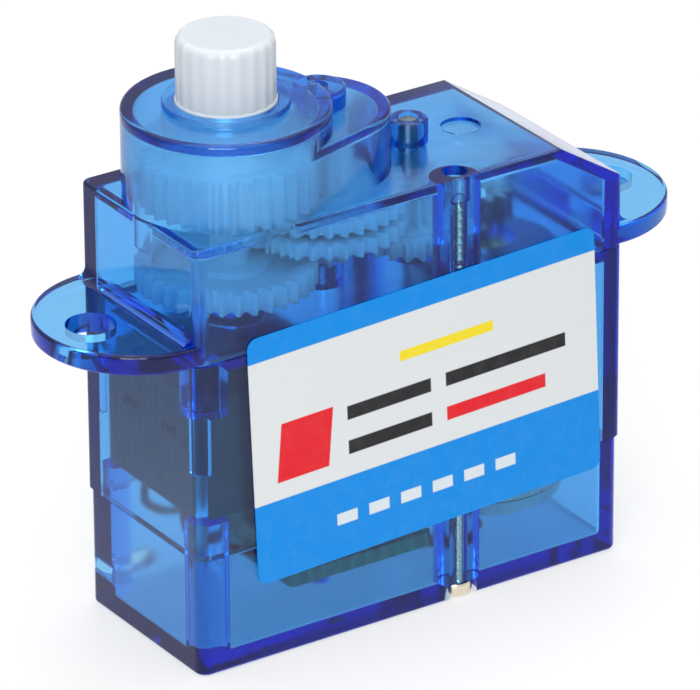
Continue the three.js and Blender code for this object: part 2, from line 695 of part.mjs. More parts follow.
const looks = {
  caseBlue: { color: 0x3f8fd8, roughness: 0.2, metalness: 0, transparent: true, opacity: 0.55 },
  label: { color: 0xe4e9ee, roughness: 0.35, metalness: 0 },
  nylon: { color: 0xf1f1ec, roughness: 0.45, metalness: 0 },
  steel: { color: 0xb9bcc0, roughness: 0.3, metalness: 1 },
  brass: { color: 0xc9a35a, roughness: 0.3, metalness: 1 },
  copper: { color: 0xb0663a, roughness: 0.4, metalness: 1 },
  blackPlastic: { color: 0x26292d, roughness: 0.5, metalness: 0 },
  whitePlastic: { color: 0xdfe0da, roughness: 0.5, metalness: 0 },
  magnet: { color: 0x3a3a3e, roughness: 0.7, metalness: 0.3 },
  phenolic: { color: 0x8a5a32, roughness: 0.6, metalness: 0 },
  carbon: { color: 0x1b1b1d, roughness: 0.8, metalness: 0 },
  boardGreen: { color: 0x1f5d3a, roughness: 0.5, metalness: 0 },
  ceramic: { color: 0xa98b62, roughness: 0.5, metalness: 0 },
  redWire: { color: 0xb3201e, roughness: 0.5, metalness: 0 },
  blackWire: { color: 0x202022, roughness: 0.5, metalness: 0 },
};

const servo = new THREE.Group();

function add(name, solid, look) {
  const mesh = new THREE.Mesh(geometryOf(solid), new THREE.MeshStandardMaterial(looks[look]));
  mesh.name = name;
  servo.add(mesh);
}

add('top_case', topCase(), 'caseBlue');
add('middle_case', middleCase(), 'caseBlue');
add('bottom_cover', bottomCover(), 'caseBlue');
for (const [side, y] of Object.entries(screwSides)) add(`case_screw_${side}`, caseScrew(y), 'steel');
add('label_sticker', labelSticker(), 'label');
add('lobe_axle', rod(axleAX, 0, axleRadius, deckBottom + 0.2, lobeCollar.top - axleSunk, 16), 'steel');
add('collar_axle', rod(axleBX, 0, axleRadius, deckBottom + 0.2, collar.top - axleSunk, 16), 'steel');

for (const [name, solid] of Object.entries(gears)) add(name, solid, 'nylon');
add('output_gear', outputGear(), 'nylon');
add('pot_shaft', potShaft(), 'steel');
add('pot_wiper', potWiper(), 'copper');

add('motor_can', motorCan(), 'steel');
add('motor_end_cap', motorEndCap(), 'whitePlastic');
add('motor_magnet', motorMagnet(), 'magnet');
add('motor_front_bushing', frontBushing(), 'brass');
for (const [name, side] of [['left', -1], ['right', 1]]) {
  add(`motor_brush_${name}`, motorBrush(side), 'copper');
  add(`motor_terminal_${name}`, motorTerminalBox(side * motorTerminalY, 0), 'copper');
  add(`motor_lead_${name}`, motorLead(side), side < 0 ? 'redWire' : 'blackWire');
}
add('rotor_shaft', rod(motorX, 0, rotorShaftRadius, motorBottom + 0.25, levelMotor.z1 + 0.6, 16), 'steel');
add('rotor_armature', armature(), 'copper');
add('rotor_commutator', commutator(), 'copper');
add('motor_pinion', motorPinion(), 'steel');

add('pot_housing', potHousing(), 'blackPlastic');
add('pot_base', potBase(), 'phenolic');
add('pot_track', potTrack(), 'carbon');
for (const [name, side] of [['left', -1], ['right', 1]]) {
  add(`pot_terminal_${name}`, potEndTerminal(side * potTabY), 'copper');
  add(`pot_lead_${name}`, potEndLead(side), side < 0 ? 'redWire' : 'blackWire');
}
add('pot_terminal_wiper', potWiperTerminal(), 'copper');
add('pot_lead_wiper', potWiperLead(), 'blackWire');

add('circuit_board', circuitBoard(), 'boardGreen');
add('control_chip', controlChip(), 'blackPlastic');
add('driver_transistor_left', driverTransistor(-1), 'blackPlastic');
add('driver_transistor_right', driverTransistor(1), 'blackPlastic');
add('bypass_capacitor', bypassCapacitor(), 'ceramic');
add('timing_resistor', timingResistor(), 'blackPlastic');

export default servo;
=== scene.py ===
import math

import bmesh
import bpy
from mathutils import Matrix, Vector
from mathutils.bvhtree import BVHTree


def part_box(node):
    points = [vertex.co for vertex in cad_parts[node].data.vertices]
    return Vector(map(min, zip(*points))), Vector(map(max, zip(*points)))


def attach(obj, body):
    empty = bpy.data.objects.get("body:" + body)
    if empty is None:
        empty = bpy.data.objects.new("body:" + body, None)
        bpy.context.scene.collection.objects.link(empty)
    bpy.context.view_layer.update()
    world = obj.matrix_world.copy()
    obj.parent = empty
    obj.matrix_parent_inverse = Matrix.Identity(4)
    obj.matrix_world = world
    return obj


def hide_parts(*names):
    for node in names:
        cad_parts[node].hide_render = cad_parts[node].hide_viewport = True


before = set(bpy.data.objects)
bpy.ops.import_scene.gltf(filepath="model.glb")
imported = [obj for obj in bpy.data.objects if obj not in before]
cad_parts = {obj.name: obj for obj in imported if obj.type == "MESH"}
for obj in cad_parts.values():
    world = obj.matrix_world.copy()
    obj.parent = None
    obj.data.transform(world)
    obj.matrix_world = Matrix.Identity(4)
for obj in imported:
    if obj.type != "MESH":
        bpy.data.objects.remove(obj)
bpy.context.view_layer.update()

MM = 0.001
TAU = 2 * math.pi

# ---------------------------------------------------------------- dimensions shared with the CAD, in mm


def node_box(name):
    low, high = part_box(name)
    return [c / MM for c in low], [c / MM for c in high]


MID_LOW, MID_HIGH = node_box("middle_case")
COVER_TOP = node_box("bottom_cover")[1][2]
GEAR_LOW, GEAR_HIGH = node_box("output_gear")
CAN_LOW, CAN_HIGH = node_box("motor_can")
POT_LOW, POT_HIGH = node_box("pot_housing")
SCREW_LOW, SCREW_HIGH = node_box("case_screw_near")
BOARD_LOW, BOARD_HIGH = node_box("circuit_board")

# case shells: X runs along the case, Y across it with the label at -Y, Z up
HALF_L = MID_HIGH[0]
HALF_W = MID_HIGH[1]
SEAM_LOW = 5.0
SEAM_HIGH = 13.4
GAP = MID_LOW[2] - SEAM_LOW
CASE_TOP = 18.3
WALL = 0.6
PLATE = 0.55
FLOOR = 0.65
DECK_LOW = 12.75
CORNER = 0.4
INNER_CORNER = 0.25
COVER_CORNER = 0.5
COVER_SETBACK = 0.06
SEAM_EDGE = 0.05
SLOPE_RUN = 3.0
SLOPE_DROP = 1.9
GATE_X, GATE_R, GATE_DEPTH = 5.05, 0.8, 0.15

# mounting ears
EAR_LOW, EAR_HIGH = 13.48, 14.3
EAR_HOLE_X, EAR_HOLE_R = 12.15, 1.0
EAR_FILLET = 0.55

# output boss, the lobe beside it, and the collars over the two idler axles
OUT_X = (GEAR_LOW[0] + GEAR_HIGH[0]) / 2
BOSS_R, BOSS_TOP, BOSS_WALL = 4.1, 22.0, 0.5
LIP_R, LIP_RISE, LIP_BORE_R = 2.5, 0.22, 2.05
LOBE_X, LOBE_R, LOBE_TOP = -1.9, 3.05, 20.9
AXLE_SPACING = 4.2
AXLE_A = OUT_X + AXLE_SPACING
AXLE_B = AXLE_A + AXLE_SPACING
AXLE_HOLE_R = 0.42
COLLAR_R, COLLAR_TOP = 0.8, 19.3
LOBE_COLLAR_R, LOBE_COLLAR_TOP = 1.1, 21.7

# case screws and the pillars that they run in
SCREW_X = (SCREW_LOW[0] + SCREW_HIGH[0]) / 2
SCREW_Y = -(SCREW_LOW[1] + SCREW_HIGH[1]) / 2
PILLAR_R = 1.0
SCREW_CLEAR_R = 0.42
SCREW_HOLD_R = 0.39
SCREW_DIMPLE_R, SCREW_DIMPLE_LOW = 0.52, 17.15
SCREW_HEAD_BORE_R = 0.9

# corners of the output end: pockets and ribs in the middle case, posts in the cover
END_WALL_X = -9.5
POCKET_X, POCKET_LOW, POCKET_WIDTH = -8.35, 10.85, 1.15
RIB_X, RIB_LOW, RIB_WIDTH = -9.15, 8.5, 0.50
POST_X, POST_Y, POST_R = -9.0, 3.2, 0.7

MOTOR_X = (CAN_LOW[0] + CAN_HIGH[0]) / 2
MODULE = 0.2

# the camera's azimuth, in which the floor's lit strip runs away from it
STRIP_TURN = math.radians(-33.5)

# ---------------------------------------------------------------- solids


def link(name, bm):
    mesh = bpy.data.meshes.new(name)
    bm.normal_update()
    bm.to_mesh(mesh)
    bm.free()
    obj = bpy.data.objects.new(name, mesh)
    bpy.context.scene.collection.objects.link(obj)
    return obj


def loft(rings):
    """A closed solid through rings of points that all run the same way round, counterclockwise from above."""
    bm = bmesh.new()
    loops = [[bm.verts.new(p) for p in ring] for ring in rings]
    count = len(loops[0])
    for low, high in zip(loops, loops[1:]):
        for i in range(count):
            j = (i + 1) % count
            bm.faces.new((low[i], low[j], high[j], high[i]))
    bm.faces.new(loops[0][::-1])
    bm.faces.new(loops[-1])
    return link("solid", bm)


def arc(x, y, radius, start, end, steps):
    angles = [start + (end - start) * i / steps for i in range(steps + 1)]
    return [(x + radius * math.cos(angle), y + radius * math.sin(angle)) for angle in angles]


def rectangle(x0, x1, y0, y1, radius, steps=8):
    """Outline of a rounded rectangle, as a function of how far it is moved inwards."""

    def outline(inset=0.0):
        r = max(radius - inset, 0.02)
        a0, a1, b0, b1 = x0 + inset + r, x1 - inset - r, y0 + inset + r, y1 - inset - r
        return (
            arc(a1, b1, r, 0, TAU / 4, steps)
            + arc(a0, b1, r, TAU / 4, TAU / 2, steps)
            + arc(a0, b0, r, TAU / 2, TAU * 3 / 4, steps)
            + arc(a1, b0, r, TAU * 3 / 4, TAU, steps)
        )

    return outline


def plan(inset, radius):
    return rectangle(-HALF_L + inset, HALF_L - inset, -HALF_W + inset, HALF_W - inset, radius)


def circle(x, y, radius, steps=96):
    return lambda inset=0.0: arc(x, y, radius - inset, 0, TAU * (steps - 1) / steps, steps - 1)


def two_circles(x0, r0, x1, r1, steps=64):
    """Outline round a large circle and a smaller one beside it, joined by their tangents."""
    normal = math.acos((r0 - r1) / (x1 - x0))

    def outline(inset=0.0):
        large = arc(x0, 0, r0 - inset, normal, TAU - normal, steps)
        return large + arc(x1, 0, r1 - inset, -normal, normal, steps)

    return outline


def profile(z0, z1, bottom, top, steps):
    """Rows of (inset, height) up a wall whose lower and upper edges are rounded."""
    rows = []
    for i in range(steps + 1 if bottom else 1):
        angle = TAU / 4 * i / steps
        rows.append((bottom * (1 - math.sin(angle)), z0 + bottom * (1 - math.cos(angle))))
    for i in range(steps + 1 if top else 1):
        angle = TAU / 4 * i / steps
        rows.append((top * (1 - math.cos(angle)), z1 - top * (1 - math.sin(angle))))
    return rows


def prism(outline, z0, z1, bottom=0.0, top=0.0, steps=5):
    return loft([[(x, y, z) for x, y in outline(inset)] for inset, z in profile(z0, z1, bottom, top, steps)])


def rod(x, y, radius, z0, z1, bottom=0.0, top=0.0, steps=48):
    return prism(circle(x, y, radius, steps), z0, z1, bottom, top, 4)


def block(x0, x1, y0, y1, z0, z1, edge=0.0):
    return prism(rectangle(x0, x1, y0, y1, max(edge, 0.001), 3 if edge else 1), z0, z1, edge, edge, 3)


def lathe(x, y, rows, steps=96):
    """A solid of revolution about an upright axis through rows of (radius, height)."""
    return loft([[(px, py, z) for px, py in circle(x, y, radius, steps)()] for radius, z in rows])


def side_prism(points, y0, y1):
    """A prism along Y of an outline drawn in X and Z."""
    bm = bmesh.new()
    near = [bm.verts.new((x, y0, z)) for x, z in points]
    far = [bm.verts.new((x, y1, z)) for x, z in points]
    for i in range(len(points)):
        j = (i + 1) % len(points)
        bm.faces.new((near[i], near[j], far[j], far[i]))
    bm.faces.new(near[::-1])
    bm.faces.new(far)
    bmesh.ops.recalc_face_normals(bm, faces=bm.faces)
    return link("solid", bm)


def combine(base, tools, operation):
    """Adds, cuts or intersects solids with the first, which is changed and returned."""
    for tool in tools:
        modifier = base.modifiers.new("combine", "BOOLEAN")
        modifier.solver = "MANIFOLD"
        modifier.operation = operation
        modifier.object = tool
    graph = bpy.context.evaluated_depsgraph_get()
    mesh = bpy.data.meshes.new_from_object(base.evaluated_get(graph))
    base.modifiers.clear()
    base.data = mesh
    for tool in tools:
        bpy.data.objects.remove(tool)
    return base


def join(base, *tools):
    return combine(base, tools, "UNION")


def cut(base, *tools):
    return combine(base, tools, "DIFFERENCE")


def common(base, *tools):
    return combine(base, tools, "INTERSECT")


def mark_inside(obj, lean=1.2, reach=40.0, lift=0.01, enough=6):
    """Stores which faces look into the shell: those from which most directions meet the shell again.

    Nine rays leave each face, one straight and eight leaning around it.
    """
    mesh = obj.data
    tree = BVHTree.FromPolygons([v.co for v in mesh.vertices], [p.vertices for p in mesh.polygons])
    inner = mesh.attributes.new("inner", "FLOAT", "FACE")
    for face in mesh.polygons:
        normal = face.normal
        across = normal.orthogonal().normalized()
        other = normal.cross(across)
        turns = [TAU * k / 8 for k in range(8)]
        rays = [normal + lean * (across * math.cos(turn) + other * math.sin(turn)) for turn in turns]
        start = face.center + normal * lift
        met = sum(tree.ray_cast(start, ray.normalized(), reach)[0] is not None for ray in rays + [normal])
        inner.data[face.index].value = 1.0 if met >= enough else 0.0
    return obj


def piece(obj, name, body, material, node):
    """Scales a finished solid to metres, smooths it up to its sharp edges and makes it a piece."""
    mesh = obj.data
    mesh.transform(Matrix.Scale(MM, 4))
    mesh.name = obj.name = name
    mesh.shade_smooth()
    mesh.set_sharp_from_angle(angle=math.radians(35))
    weighted = obj.modifiers.new("normals", "WEIGHTED_NORMAL")
    weighted.keep_sharp = True
    weighted.weight = 80
    mesh.materials.clear()
    mesh.materials.append(material)
    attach(obj, body)
    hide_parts(node)


# ---------------------------------------------------------------- materials


class Nodes:
    """Short calls for building one material's node tree."""

    def __init__(self, name):
        self.material = bpy.data.materials.new(name)
        self.material.use_nodes = True
        self.tree = self.material.node_tree
        self.shader = self.tree.nodes["Principled BSDF"]
        self.output = self.tree.nodes["Material Output"]
        self.place = self.new("ShaderNodeTexCoord").outputs["Object"]

    def new(self, kind, **settings):
        node = self.tree.nodes.new(kind)
        for key, value in settings.items():
            setattr(node, key, value)
        return node

    def link(self, source, target):
        self.tree.links.new(source, target)

    def feed(self, target, value):
        if isinstance(value, bpy.types.NodeSocket):
            self.link(value, target)
        else:
            target.default_value = value

    def noise(self, size, detail=3.0, rough=0.5, stretch=None, seed=0.0):
        """Noise whose features are about size millimetres across."""
        source = self.place
        if stretch or seed:
            mapping = self.new("ShaderNodeMapping")
            self.link(source, mapping.inputs["Vector"])
            mapping.inputs["Scale"].default_value = stretch or (1, 1, 1)
            mapping.inputs["Location"].default_value = (seed * MM, seed * 2 * MM, seed * 3 * MM)
            source = mapping.outputs[0]
        node = self.new("ShaderNodeTexNoise")
        self.link(source, node.inputs["Vector"])
        node.inputs["Scale"].default_value = 1 / (size * MM)
        node.inputs["Detail"].default_value = detail
        node.inputs["Roughness"].default_value = rough
        return node.outputs["Fac"]

    def ramp(self, value, low, high, out_low=0.0, out_high=1.0):
        node = self.new("ShaderNodeMapRange", interpolation_type="SMOOTHSTEP")
        self.link(value, node.inputs["Value"])
        node.inputs["From Min"].default_value = low
        node.inputs["From Max"].default_value = high
        node.inputs["To Min"].default_value = out_low
        node.inputs["To Max"].default_value = out_high
        return node.outputs[0]

    def math(self, operation, a, b=None, c=None):
        node = self.new("ShaderNodeMath", operation=operation)
        for socket, value in zip(node.inputs, (a, b, c)):
            if value is not None:
                self.feed(socket, value)
        return node.outputs[0]

    def mix(self, factor, a, b):
        node = self.new("ShaderNodeMix", data_type="RGBA")
        self.feed(node.inputs["Factor"], factor)
        self.feed(node.inputs[6], (*a, 1) if isinstance(a, tuple) else a)
        self.feed(node.inputs[7], (*b, 1) if isinstance(b, tuple) else b)
        return node.outputs[2]

    def bump(self, height, depth, strength=1.0, normal=None):
        """depth is the height of the relief in millimetres."""
        node = self.new("ShaderNodeBump")
        node.inputs["Strength"].default_value = strength
        node.inputs["Distance"].default_value = depth * MM
        self.link(height, node.inputs["Height"])
        if normal is not None:
            self.link(normal, node.inputs["Normal"])
        return node.outputs[0]

    def set(self, **values):
        for key, value in values.items():
            self.feed(self.shader.inputs[key.replace("_", " ")], value)
        return self.material


def shade(colour, factor):
    return tuple(min(c * factor, 1.0) for c in colour)


def plastic(name, colour, rough, grain=0.12, relief=0.004, **more):
    """Moulded plastic: mottled shade, uneven gloss and the fine texture of the mould."""
    n = Nodes(name)
    blotch = n.ramp(n.noise(1.6, 4.0, 0.55), 0.3, 0.7)
    tone = n.mix(blotch, shade(colour, 0.88), shade(colour, 1.072))
    gloss = n.ramp(n.noise(0.5, 5.0, 0.6, None, 7.0), 0.3, 0.7, rough * 0.8, min(rough * 1.25, 1.0))
    normal = n.bump(n.noise(grain, 3.0, 0.6, None, 5.0), relief)
    return n.set(Base_Color=tone, Roughness=gloss, Normal=normal, **more)


def metal(name, colour, rough, stretch=(1, 1, 1), stain=0.25, tint=(0.35, 0.31, 0.26)):
    """Metal with fine working marks, uneven gloss and faint tarnish."""
    n = Nodes(name)
    tarnish = n.ramp(n.noise(1.1, 5.0, 0.6), 0.5, 0.75, 0.0, stain)
    marks = n.noise(0.06, 3.0, 0.6, stretch, 2.0)
    clean = n.mix(n.ramp(marks, 0.3, 0.7), shade(colour, 0.88), shade(colour, 1.06))
    uneven = n.noise(0.3, 5.0, 0.65, stretch, 9.0)
    gloss = n.ramp(uneven, 0.3, 0.7, rough * 0.7, min(rough * 1.4, 1.0))
    base = n.mix(tarnish, clean, tint)
    return n.set(Base_Color=base, Metallic=1.0, Roughness=gloss, Normal=n.bump(marks, 0.003))


def clear_blue():
    """Dyed clear plastic, polished outside and matt inside. It darkens with the depth that light crosses.

    A very faint blue glow stands for the light scattered inside its thick sections.
    """
    n = Nodes("case_plastic")
    inner = n.new("ShaderNodeAttribute", attribute_name="inner").outputs["Fac"]
    flow = n.noise(2.2, 2.0, 0.45, (0.6, 1, 1.6), 1.0)
    scuff = n.ramp(n.noise(0.18, 6.0, 0.75, (1, 1, 6), 4.0), 0.60, 0.80)
    polish = n.math("ADD", n.ramp(flow, 0.3, 0.7, 0.04, 0.08), n.math("MULTIPLY", scuff, 0.08))
    gloss = n.math("ADD", polish, n.math("MULTIPLY", inner, 0.12))
    ripple = n.bump(flow, 0.02, 0.5)
    fine = n.bump(n.noise(0.5, 2.0, 0.5, None, 6.0), 0.0006, 0.3, ripple)
    cloud = n.ramp(n.noise(1.2, 4.0, 0.6, None, 8.0), 0.3, 0.7)
    tint = n.mix(cloud, (0.76, 0.90, 0.97), (0.84, 0.94, 0.99))
    n.set(Base_Color=tint, Roughness=gloss, Normal=fine)
    n.set(Emission_Color=(0.03, 0.10, 1.0, 1), Emission_Strength=0.013)
    n.set(IOR=1.42, Specular_IOR_Level=0.12, Transmission_Weight=1.0)
    volume = n.new("ShaderNodeVolumeAbsorption")
    volume.inputs["Color"].default_value = (0.0, 0.655, 0.957, 1)
    volume.inputs["Density"].default_value = 1480.0
    n.link(volume.outputs[0], n.output.inputs["Volume"])
    return n.material


def nylon(name, inside_tone, above_boss_tone):
    """White nylon, one tone inside the case and a greyer, bluish tone on the end of the shaft above the boss.
    """
    n = Nodes(name)
    split = n.new("ShaderNodeSeparateXYZ")
    n.link(n.place, split.inputs[0])
    exposed = n.ramp(split.outputs["Z"], (BOSS_TOP - 0.4) * MM, (BOSS_TOP + 0.4) * MM)
    blotch = n.ramp(n.noise(0.9, 3.0, 0.5), 0.3, 0.7, 0.96, 1.0)
    tone = n.mix(exposed, inside_tone, above_boss_tone)
    speck = n.ramp(n.noise(0.2, 6.0, 0.7, None, 2.0), 0.55, 0.8, 0.0, 0.06)
    base = n.mix(speck, n.mix(blotch, (0.5, 0.5, 0.5), tone), (0.35, 0.35, 0.33))
    gloss = n.ramp(n.noise(0.25, 5.0, 0.6, None, 3.0), 0.3, 0.7, 0.28, 0.45)
    normal = n.bump(n.noise(0.08, 3.0, 0.6, None, 5.0), 0.002)
    n.set(Subsurface_Weight=0.5, Subsurface_Radius=(1.0, 0.95, 0.85), Subsurface_Scale=0.8 * MM)
    return n.set(Base_Color=base, Roughness=gloss, Normal=normal)


CASE = clear_blue()
NYLON = nylon("nylon_white", (0.94, 0.95, 0.95), (0.52, 0.56, 0.605))
STEEL = metal("steel_ground", (0.72, 0.72, 0.72), 0.22, (1, 1, 0.15))
# a darker, olive copy of the ground steel for the axle in the collar: painted shade that darkens its end
STEEL_PAINTED_SHADE = metal("steel_painted_shade", (0.36, 0.35, 0.31), 0.34, (1, 1, 0.15))
ZINC = metal("screw_plated", (0.88, 0.78, 0.62), 0.24)
NICKEL = metal("can_nickel", (0.68, 0.62, 0.50), 0.30, (1, 1, 0.2))
BRASS = metal("brass_turned", (0.83, 0.62, 0.30), 0.25, tint=(0.35, 0.22, 0.10))
COPPER = metal("copper_alloy", (0.80, 0.42, 0.24), 0.3, tint=(0.30, 0.14, 0.08))
TARNISHED = metal("copper_tarnished", (0.06, 0.022, 0.012), 0.5, (1, 1, 1), 0.6, (0.03, 0.02, 0.015))
POT_PLASTIC = plastic("pot_plastic", (0.070, 0.072, 0.070), 0.5, Specular_IOR_Level=0.2)
FERRITE = plastic("ferrite", (0.055, 0.055, 0.060), 0.65, 0.08, 0.012)
CAP_PLASTIC = plastic("cap_plastic", (0.78, 0.77, 0.70), 0.42)
PHENOLIC = plastic("phenolic", (0.34, 0.17, 0.07), 0.5, 0.06, 0.006)
CARBON = plastic("carbon_film", (0.02, 0.02, 0.022), 0.55)
CHIP = plastic("chip_compound", (0.018, 0.018, 0.020), 0.5, 0.05, 0.004)
CERAMIC = plastic("ceramic", (0.40, 0.27, 0.15), 0.38, 0.07, 0.004)
RED = plastic("wire_red", (0.55, 0.02, 0.015), 0.38)
BLACK = plastic("wire_black", (0.02, 0.02, 0.022), 0.38)


def board_green():
    """Green lacquer over faint copper tracks."""
    n = Nodes("board_green")
    weave = n.new("ShaderNodeTexWave", wave_type="BANDS", bands_direction="X")
    n.link(n.place, weave.inputs["Vector"])
    weave.inputs["Scale"].default_value = 1 / (2.2 * MM)
    weave.inputs["Distortion"].default_value = 1.5
    base = n.mix(n.ramp(n.noise(0.8, 4.0, 0.5), 0.35, 0.65), (0.012, 0.19, 0.10), (0.018, 0.23, 0.12))
    lines = n.mix(n.ramp(weave.outputs["Fac"], 0.5, 0.8), base, (0.022, 0.27, 0.14))
    gloss = n.ramp(n.noise(0.3, 4.0, 0.6), 0.3, 0.7, 0.25, 0.4)
    return n.set(Base_Color=lines, Roughness=gloss, Normal=n.bump(weave.outputs["Fac"], 0.01))


BOARD = board_green()

# ---------------------------------------------------------------- case shells


def end_slope(offset):
    """Everything past the sloping end of the top case, moved inwards by offset."""
    start, end, above = HALF_L - SLOPE_RUN, HALF_L + 2, CASE_TOP + 2
    z0, z1 = CASE_TOP - offset, CASE_TOP - SLOPE_DROP - offset
    outline = [(start, z0), (HALF_L, z1), (end, z1), (end, above), (start, above)]
    return side_prism(outline, -HALF_W - 1, HALF_W + 1)


def ear_root(sign):
    """The small hollow fillet between an ear and the end wall."""
    steps, sunk, margin = 8, 0.1, 0.35
    wall_x = sign * HALF_L
    points = [(wall_x - sign * sunk, EAR_HIGH - sunk), (wall_x + sign * EAR_FILLET, EAR_HIGH - sunk)]
    for i in range(steps + 1):
        angle = TAU / 4 * i / steps
        out, up = EAR_FILLET * (1 - math.sin(angle)), EAR_FILLET * (1 - math.cos(angle))
        points.append((wall_x + sign * out, EAR_HIGH + up))
    points.append((wall_x - sign * sunk, EAR_HIGH + EAR_FILLET))
    return side_prism(points, -HALF_W + margin, HALF_W - margin)


def screw_rods(radius, z0, z1, steps=40):
    return [rod(SCREW_X, sign * SCREW_Y, radius, z0, z1, steps=steps) for sign in (-1, 1)]


def top_case():
    z0 = SEAM_HIGH + GAP
    plate_low = CASE_TOP - PLATE
    edge, inner_edge, collar_edge = 0.16, 0.1, 0.12
    seat_r, seat_low = 0.7, 16.75
    lobe_seat_r, lobe_seat_low = 0.75, 20.25
    wheel_room_r, wheel_room_top = 2.7, 15.2

    ears = rectangle(-HALF_L - HALF_W, HALF_L + HALF_W, -HALF_W, HALF_W, HALF_W - 0.001, 40)
    shell = cut(prism(plan(0, CORNER), z0, CASE_TOP, SEAM_EDGE, edge), end_slope(0))
    shell = join(
        shell,
        prism(ears, EAR_LOW, EAR_HIGH, 0.12, edge),
        ear_root(-1),
        ear_root(1),
        prism(circle(OUT_X, 0, BOSS_R, 144), CASE_TOP - 0.4, BOSS_TOP, 0, 0.22),
        prism(two_circles(OUT_X, BOSS_R - 0.01, LOBE_X, LOBE_R), CASE_TOP - 0.4, LOBE_TOP, 0, 0.2),
        prism(circle(OUT_X, 0, LIP_R), BOSS_TOP - 0.2, BOSS_TOP + LIP_RISE, 0, 0.06),
        rod(AXLE_B, 0, COLLAR_R, CASE_TOP - 0.2, COLLAR_TOP, 0, collar_edge),
        rod(AXLE_A, 0, LOBE_COLLAR_R, LOBE_TOP - 0.2, LOBE_COLLAR_TOP, 0, collar_edge),
    )

    cavity = cut(prism(plan(WALL, INNER_CORNER), z0 - 2, plate_low, 0, inner_edge), end_slope(PLATE))
    inner_r, inner_lobe_r = BOSS_R - BOSS_WALL, LOBE_R - BOSS_WALL
    room = join(
        prism(circle(OUT_X, 0, inner_r, 128), plate_low - 1, BOSS_TOP - 0.6, 0, inner_edge),
        prism(
            two_circles(OUT_X, inner_r - 0.01, LOBE_X, inner_lobe_r),
            plate_low - 1, LOBE_TOP - BOSS_WALL, 0, inner_edge,
        ),
    )
    shell = cut(shell, cavity, room)

    wheel_room = rod(AXLE_B, 0, wheel_room_r, z0 - 1, wheel_room_top, steps=96)
    pillars = cut(join(*screw_rods(PILLAR_R, z0, plate_low + 0.1)), wheel_room)
    inside = join(
        common(pillars, prism(plan(0.1, 0.2), z0, CASE_TOP)),
        rod(AXLE_B, 0, seat_r, seat_low, plate_low + 0.1),
        rod(AXLE_A, 0, lobe_seat_r, lobe_seat_low, LOBE_TOP - 0.4),
    )
    shell = join(shell, inside)

    ear_holes = [
        rod(sign * EAR_HOLE_X, 0, EAR_HOLE_R, SEAM_HIGH - 1, EAR_HIGH + 1, steps=72) for sign in (-1, 1)
    ]
    return cut(
        shell,
        *ear_holes,
        rod(OUT_X, 0, LIP_BORE_R, BOSS_TOP - 1.2, BOSS_TOP + 1, steps=96),
        rod(AXLE_B, 0, AXLE_HOLE_R, seat_low - 0.25, COLLAR_TOP + 1),
        rod(AXLE_A, 0, AXLE_HOLE_R, lobe_seat_low - 0.05, LOBE_COLLAR_TOP + 1),
        rod(GATE_X, 0, GATE_R, CASE_TOP - GATE_DEPTH, CASE_TOP + 1, steps=56),
        *screw_rods(SCREW_HOLD_R, z0 - 1, SCREW_DIMPLE_LOW + 0.05),
        *screw_rods(SCREW_DIMPLE_R, SCREW_DIMPLE_LOW, CASE_TOP + 1),
    )


def middle_case():
    z0 = SEAM_LOW + GAP
    shaft_hole_r, shaft_recess_r, motor_hole_r, deck_skin = 0.49, 1.35, 1.3, 0.15
    cavity = prism(plan(WALL, INNER_CORNER), z0 - 1, DECK_LOW, 0, 0.1)
    shell = cut(prism(plan(0, CORNER), z0, SEAM_HIGH, SEAM_EDGE, SEAM_EDGE), cavity)
    axle_bosses = [
        rod(x, 0, radius, SEAM_HIGH - 0.1, top)
        for x, radius, top in ((OUT_X, 0.95, 14.45), (AXLE_A, 0.8, 14.4), (AXLE_B, 0.8, 14.22))
    ]
    pockets = [
        block(END_WALL_X, POCKET_X, y, y + POCKET_WIDTH, POCKET_LOW, DECK_LOW + 0.1, 0.05)
        for y in (-3.65, 2.5)
    ]
    ribs = [block(END_WALL_X, RIB_X, y, y + RIB_WIDTH, RIB_LOW, DECK_LOW + 0.1, 0.04) for y in (-3.65, 3.15)]
    inner = join(*screw_rods(PILLAR_R, z0, DECK_LOW + 0.1), *pockets)
    shell = join(shell, *axle_bosses, common(inner, prism(plan(0.1, 0.2), z0, SEAM_HIGH)), *ribs)
    return cut(
        shell,
        rod(OUT_X, 0, shaft_hole_r, DECK_LOW - 1, SEAM_HIGH + 3),
        rod(OUT_X, 0, shaft_recess_r, DECK_LOW - 1, DECK_LOW + 0.2),
        rod(AXLE_A, 0, AXLE_HOLE_R, DECK_LOW + deck_skin, SEAM_HIGH + 3),
        rod(AXLE_B, 0, AXLE_HOLE_R, DECK_LOW + deck_skin, SEAM_HIGH + 3),
        rod(MOTOR_X, 0, motor_hole_r, DECK_LOW - 1, SEAM_HIGH + 1, steps=64),
        *screw_rods(SCREW_CLEAR_R, z0 - 1, SEAM_HIGH + 1),
    )


def cover_outline():
    """The bottom cover's outline, held back a little so that pillars and posts end inside its walls."""
    return prism(plan(0.16, 0.2), 0, SEAM_LOW)


